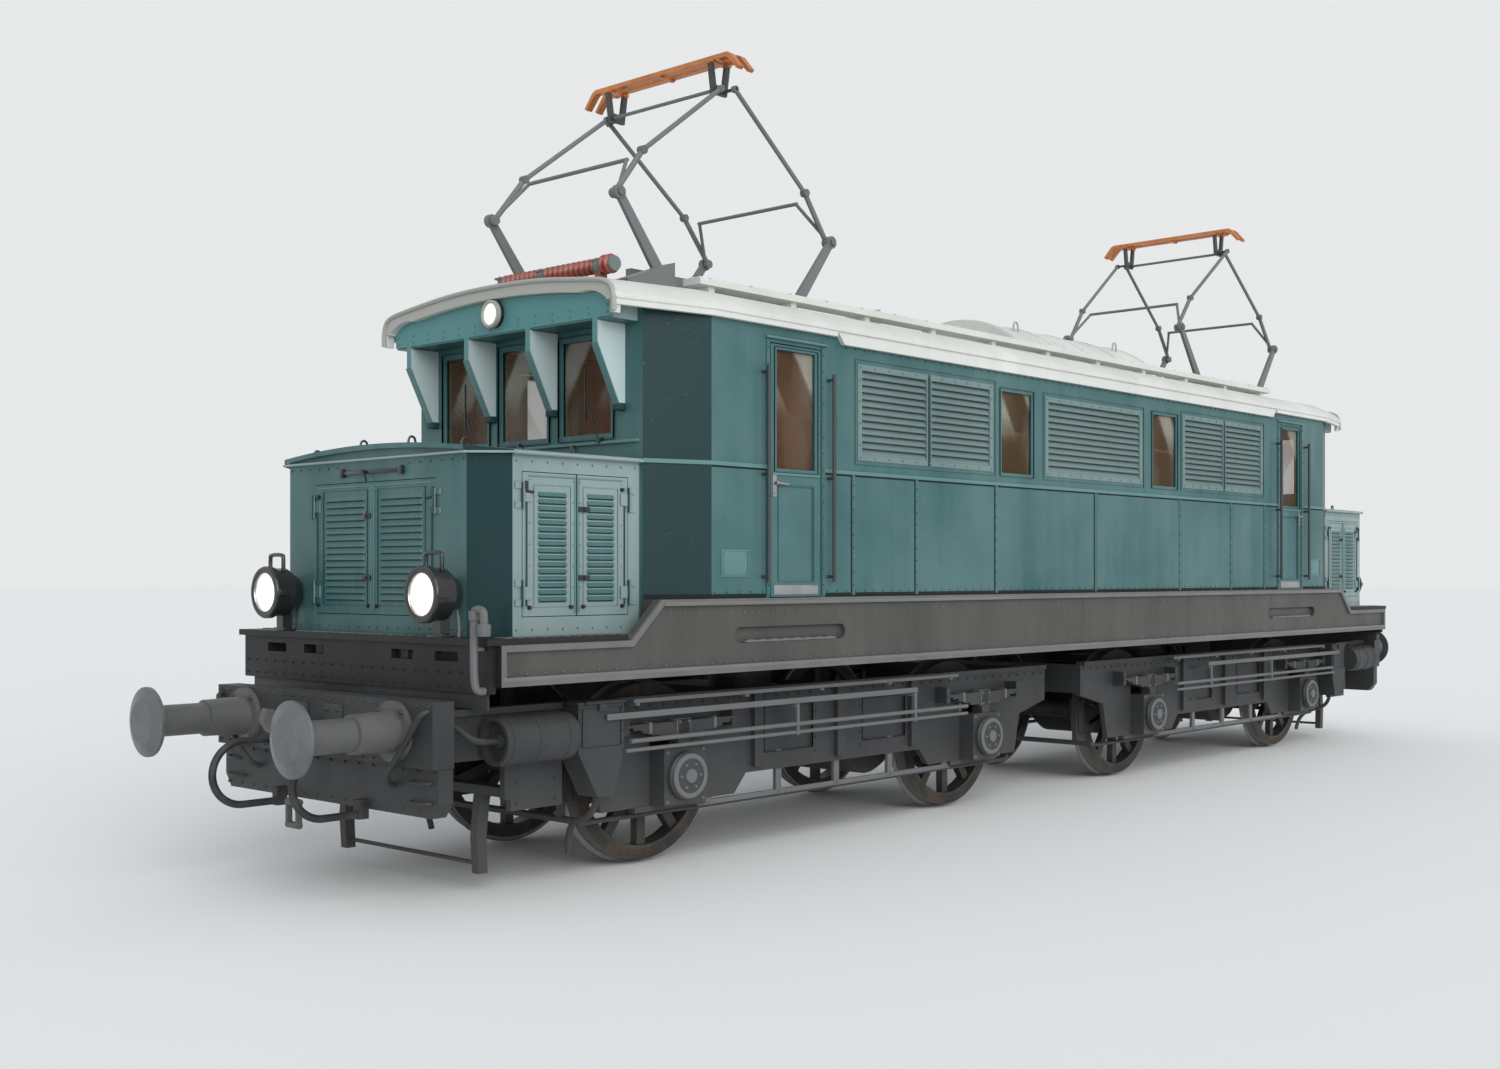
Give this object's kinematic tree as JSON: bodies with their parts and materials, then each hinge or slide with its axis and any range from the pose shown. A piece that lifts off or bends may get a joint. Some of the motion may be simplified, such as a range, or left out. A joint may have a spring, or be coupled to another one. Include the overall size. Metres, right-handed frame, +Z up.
{
  "type": "electric locomotive",
  "caption": "Box-cab electric locomotive on swivelling bogies, with louvred end hoods, opening doors, an arched roof with walkways and raised diamond pantographs.",
  "frame": {"origin": "on the floor under the middle of the body, at the height of the wheel flange tips", "axes": "+X along the body toward end 1, +Y to the left of end 1, +Z up"},
  "size_m": [15.29, 3.06, 5.958],
  "materials": {
    "body_paint": "deep teal-green paint, slightly glossy",
    "roof_paint": "pale off-white roof paint, matte",
    "fitting_grey": "grey paint",
    "sill_grey": "dark warm grey paint",
    "running_gear": "near-black frame paint, dull",
    "wheel_steel": "turned steel",
    "buffer_steel": "bare steel",
    "contact_copper": "worn copper-coloured strips",
    "insulator": "glazed red-brown ceramic",
    "window_pane": "clear sheet glass",
    "lamp_glass": "warm white lamp glass",
    "lamp_black": "black enamel",
    "cab_brown": "dark red-brown interior paint",
    "rubber_hose": "black rubber",
    "handle_steel": "worn steel",
    "tank_grey": "grey machine paint"
  },
  "bodies": {
    "carbody": {"underframe": "sill_grey", "side_walls": "body_paint", "side_louvres": "body_paint", "cab_fronts": "body_paint", "roof_shell": "roof_paint", "roof_walkways": "roof_paint", "roof_hatch": "roof_paint", "roof_insulators": "insulator", "hoods": "body_paint", "window_glass": "window_pane", "headlamps": "lamp_black", "lamp_lenses": "lamp_glass", "cab_bulkheads": "cab_brown", "driver_desks": "cab_brown", "transformer": "tank_grey", "handrails": "handle_steel", "pantograph_bases": "fitting_grey"},
    "cab_door_1_left": {"cab_door_1_left": "body_paint"},
    "cab_door_1_right": {"cab_door_1_right": "body_paint"},
    "hood_door_1_front_right": {"hood_door_1_front_right": "body_paint"},
    "hood_door_1_front_left": {"hood_door_1_front_left": "body_paint"},
    "hood_door_1_right_rear": {"hood_door_1_right_rear": "body_paint"},
    "hood_door_1_left_rear": {"hood_door_1_left_rear": "body_paint"},
    "hood_door_1_left_front": {"hood_door_1_left_front": "body_paint"},
    "hood_door_1_right_front": {"hood_door_1_right_front": "body_paint"},
    "pantograph_1_lower_outer": {"pantograph_1_lower_outer": "fitting_grey"},
    "pantograph_1_lower_inner": {"pantograph_1_lower_inner": "fitting_grey"},
    "pantograph_1_upper_outer": {"pantograph_1_upper_outer": "fitting_grey"},
    "pantograph_1_upper_inner": {"pantograph_1_upper_inner": "fitting_grey"},
    "pantograph_1_head": {"pantograph_1_head": "contact_copper"},
    "bogie_1": {"bogie_1_frame": "running_gear", "bogie_1_suspension": "running_gear", "bogie_1_brakes": "running_gear", "bogie_1_motors": "running_gear", "bogie_1_draw_gear": "buffer_steel", "bogie_1_hoses": "rubber_hose"},
    "wheelset_1_outer": {"wheelset_1_outer": "wheel_steel"},
    "wheelset_1_inner": {"wheelset_1_inner": "wheel_steel"},
    "cab_door_2_left": {"cab_door_2_left": "body_paint"},
    "cab_door_2_right": {"cab_door_2_right": "body_paint"},
    "hood_door_2_front_right": {"hood_door_2_front_right": "body_paint"},
    "hood_door_2_front_left": {"hood_door_2_front_left": "body_paint"},
    "hood_door_2_right_rear": {"hood_door_2_right_rear": "body_paint"},
    "hood_door_2_left_rear": {"hood_door_2_left_rear": "body_paint"},
    "hood_door_2_left_front": {"hood_door_2_left_front": "body_paint"},
    "hood_door_2_right_front": {"hood_door_2_right_front": "body_paint"},
    "pantograph_2_lower_outer": {"pantograph_2_lower_outer": "fitting_grey"},
    "pantograph_2_lower_inner": {"pantograph_2_lower_inner": "fitting_grey"},
    "pantograph_2_upper_outer": {"pantograph_2_upper_outer": "fitting_grey"},
    "pantograph_2_upper_inner": {"pantograph_2_upper_inner": "fitting_grey"},
    "pantograph_2_head": {"pantograph_2_head": "contact_copper"},
    "bogie_2": {"bogie_2_frame": "running_gear", "bogie_2_suspension": "running_gear", "bogie_2_brakes": "running_gear", "bogie_2_motors": "running_gear", "bogie_2_draw_gear": "buffer_steel", "bogie_2_hoses": "rubber_hose"},
    "wheelset_2_outer": {"wheelset_2_outer": "wheel_steel"},
    "wheelset_2_inner": {"wheelset_2_inner": "wheel_steel"}
  },
  "joints": [
    {"name": "cab_door_1_left_hinge", "type": "hinge", "parent": "carbody", "child": "cab_door_1_left", "pos_m": [3.748, 1.387, 2.728], "axis": [0, 0, -1], "range_deg": [0, 90]},
    {"name": "cab_door_1_right_hinge", "type": "hinge", "parent": "carbody", "child": "cab_door_1_right", "pos_m": [3.748, -1.387, 2.728], "axis": [0, 0, 1], "range_deg": [0, 90]},
    {"name": "hood_door_1_front_right_hinge", "type": "hinge", "parent": "carbody", "child": "hood_door_1_front_right", "pos_m": [6.543, -0.705, 2.208], "axis": [0, 0, -1], "range_deg": [0, 90]},
    {"name": "hood_door_1_front_left_hinge", "type": "hinge", "parent": "carbody", "child": "hood_door_1_front_left", "pos_m": [6.543, 0.705, 2.208], "axis": [0, 0, 1], "range_deg": [0, 90]},
    {"name": "hood_door_1_right_rear_hinge", "type": "hinge", "parent": "carbody", "child": "hood_door_1_right_rear", "pos_m": [5.42, -1.263, 2.208], "axis": [0, 0, -1], "range_deg": [0, 90]},
    {"name": "hood_door_1_left_rear_hinge", "type": "hinge", "parent": "carbody", "child": "hood_door_1_left_rear", "pos_m": [5.42, 1.263, 2.208], "axis": [0, 0, 1], "range_deg": [0, 90]},
    {"name": "hood_door_1_left_front_hinge", "type": "hinge", "parent": "carbody", "child": "hood_door_1_left_front", "pos_m": [6.28, 1.263, 2.208], "axis": [0, 0, -1], "range_deg": [0, 90]},
    {"name": "hood_door_1_right_front_hinge", "type": "hinge", "parent": "carbody", "child": "hood_door_1_right_front", "pos_m": [6.28, -1.263, 2.208], "axis": [0, 0, 1], "range_deg": [0, 90]},
    {"name": "pantograph_1_lower_outer_hinge", "type": "hinge", "parent": "carbody", "child": "pantograph_1_lower_outer", "pos_m": [4.67, 0, 4.188], "axis": [0, 1, 0], "range_deg": [-6, 46]},
    {"name": "pantograph_1_lower_inner_hinge", "type": "hinge", "parent": "carbody", "child": "pantograph_1_lower_inner", "pos_m": [3.23, 0, 4.188], "axis": [0, -1, 0], "range_deg": [-6, 46]},
    {"name": "pantograph_1_upper_outer_hinge", "type": "hinge", "parent": "pantograph_1_lower_outer", "child": "pantograph_1_upper_outer", "pos_m": [5.06, 0, 4.718], "axis": [0, -1, 0], "range_deg": [-8.66, 66.42]},
    {"name": "pantograph_1_upper_inner_hinge", "type": "hinge", "parent": "pantograph_1_lower_inner", "child": "pantograph_1_upper_inner", "pos_m": [2.84, 0, 4.718], "axis": [0, 1, 0], "range_deg": [-8.66, 66.42]},
    {"name": "pantograph_1_head_hinge", "type": "hinge", "parent": "pantograph_1_upper_outer", "child": "pantograph_1_head", "pos_m": [3.99, 0, 5.708], "axis": [0, 1, 0], "range_deg": [-2.66, 20.42]},
    {"name": "bogie_1_swivel", "type": "hinge", "parent": "carbody", "child": "bogie_1", "pos_m": [3.15, 0, 1.208], "axis": [0, 0, 1], "range_deg": [-4, 4]},
    {"name": "wheelset_1_outer_spin", "type": "hinge", "parent": "bogie_1", "child": "wheelset_1_outer", "pos_m": [4.9, 0, 0.653], "axis": [0, 1, 0], "continuous": true},
    {"name": "wheelset_1_inner_spin", "type": "hinge", "parent": "bogie_1", "child": "wheelset_1_inner", "pos_m": [1.4, 0, 0.653], "axis": [0, 1, 0], "continuous": true},
    {"name": "cab_door_2_left_hinge", "type": "hinge", "parent": "carbody", "child": "cab_door_2_left", "pos_m": [-3.748, -1.387, 2.728], "axis": [0, 0, -1], "range_deg": [0, 90]},
    {"name": "cab_door_2_right_hinge", "type": "hinge", "parent": "carbody", "child": "cab_door_2_right", "pos_m": [-3.748, 1.387, 2.728], "axis": [0, 0, 1], "range_deg": [0, 90]},
    {"name": "hood_door_2_front_right_hinge", "type": "hinge", "parent": "carbody", "child": "hood_door_2_front_right", "pos_m": [-6.543, 0.705, 2.208], "axis": [0, 0, -1], "range_deg": [0, 90]},
    {"name": "hood_door_2_front_left_hinge", "type": "hinge", "parent": "carbody", "child": "hood_door_2_front_left", "pos_m": [-6.543, -0.705, 2.208], "axis": [0, 0, 1], "range_deg": [0, 90]},
    {"name": "hood_door_2_right_rear_hinge", "type": "hinge", "parent": "carbody", "child": "hood_door_2_right_rear", "pos_m": [-5.42, 1.263, 2.208], "axis": [0, 0, -1], "range_deg": [0, 90]},
    {"name": "hood_door_2_left_rear_hinge", "type": "hinge", "parent": "carbody", "child": "hood_door_2_left_rear", "pos_m": [-5.42, -1.263, 2.208], "axis": [0, 0, 1], "range_deg": [0, 90]},
    {"name": "hood_door_2_left_front_hinge", "type": "hinge", "parent": "carbody", "child": "hood_door_2_left_front", "pos_m": [-6.28, -1.263, 2.208], "axis": [0, 0, -1], "range_deg": [0, 90]},
    {"name": "hood_door_2_right_front_hinge", "type": "hinge", "parent": "carbody", "child": "hood_door_2_right_front", "pos_m": [-6.28, 1.263, 2.208], "axis": [0, 0, 1], "range_deg": [0, 90]},
    {"name": "pantograph_2_lower_outer_hinge", "type": "hinge", "parent": "carbody", "child": "pantograph_2_lower_outer", "pos_m": [-4.67, 0, 4.188], "axis": [0, -1, 0], "range_deg": [-6, 46]},
    {"name": "pantograph_2_lower_inner_hinge", "type": "hinge", "parent": "carbody", "child": "pantograph_2_lower_inner", "pos_m": [-3.23, 0, 4.188], "axis": [0, 1, 0], "range_deg": [-6, 46]},
    {"name": "pantograph_2_upper_outer_hinge", "type": "hinge", "parent": "pantograph_2_lower_outer", "child": "pantograph_2_upper_outer", "pos_m": [-5.06, 0, 4.718], "axis": [0, 1, 0], "range_deg": [-8.66, 66.42]},
    {"name": "pantograph_2_upper_inner_hinge", "type": "hinge", "parent": "pantograph_2_lower_inner", "child": "pantograph_2_upper_inner", "pos_m": [-2.84, 0, 4.718], "axis": [0, -1, 0], "range_deg": [-8.66, 66.42]},
    {"name": "pantograph_2_head_hinge", "type": "hinge", "parent": "pantograph_2_upper_outer", "child": "pantograph_2_head", "pos_m": [-3.99, 0, 5.708], "axis": [0, -1, 0], "range_deg": [-2.66, 20.42]},
    {"name": "bogie_2_swivel", "type": "hinge", "parent": "carbody", "child": "bogie_2", "pos_m": [-3.15, 0, 1.208], "axis": [0, 0, 1], "range_deg": [-4, 4]},
    {"name": "wheelset_2_outer_spin", "type": "hinge", "parent": "bogie_2", "child": "wheelset_2_outer", "pos_m": [-4.9, 0, 0.653], "axis": [0, 1, 0], "continuous": true},
    {"name": "wheelset_2_inner_spin", "type": "hinge", "parent": "bogie_2", "child": "wheelset_2_inner", "pos_m": [-1.4, 0, 0.653], "axis": [0, 1, 0], "continuous": true}
  ],
  "couplings": [
    {"joint": "pantograph_1_lower_inner_hinge", "follows": "pantograph_1_lower_outer_hinge", "ratio": 1},
    {"joint": "pantograph_1_upper_outer_hinge", "follows": "pantograph_1_lower_outer_hinge", "ratio": 1.444},
    {"joint": "pantograph_1_upper_inner_hinge", "follows": "pantograph_1_lower_outer_hinge", "ratio": 1.444},
    {"joint": "pantograph_1_head_hinge", "follows": "pantograph_1_lower_outer_hinge", "ratio": 0.444},
    {"joint": "pantograph_2_lower_inner_hinge", "follows": "pantograph_2_lower_outer_hinge", "ratio": 1},
    {"joint": "pantograph_2_upper_outer_hinge", "follows": "pantograph_2_lower_outer_hinge", "ratio": 1.444},
    {"joint": "pantograph_2_upper_inner_hinge", "follows": "pantograph_2_lower_outer_hinge", "ratio": 1.444},
    {"joint": "pantograph_2_head_hinge", "follows": "pantograph_2_lower_outer_hinge", "ratio": 0.444}
  ]
}
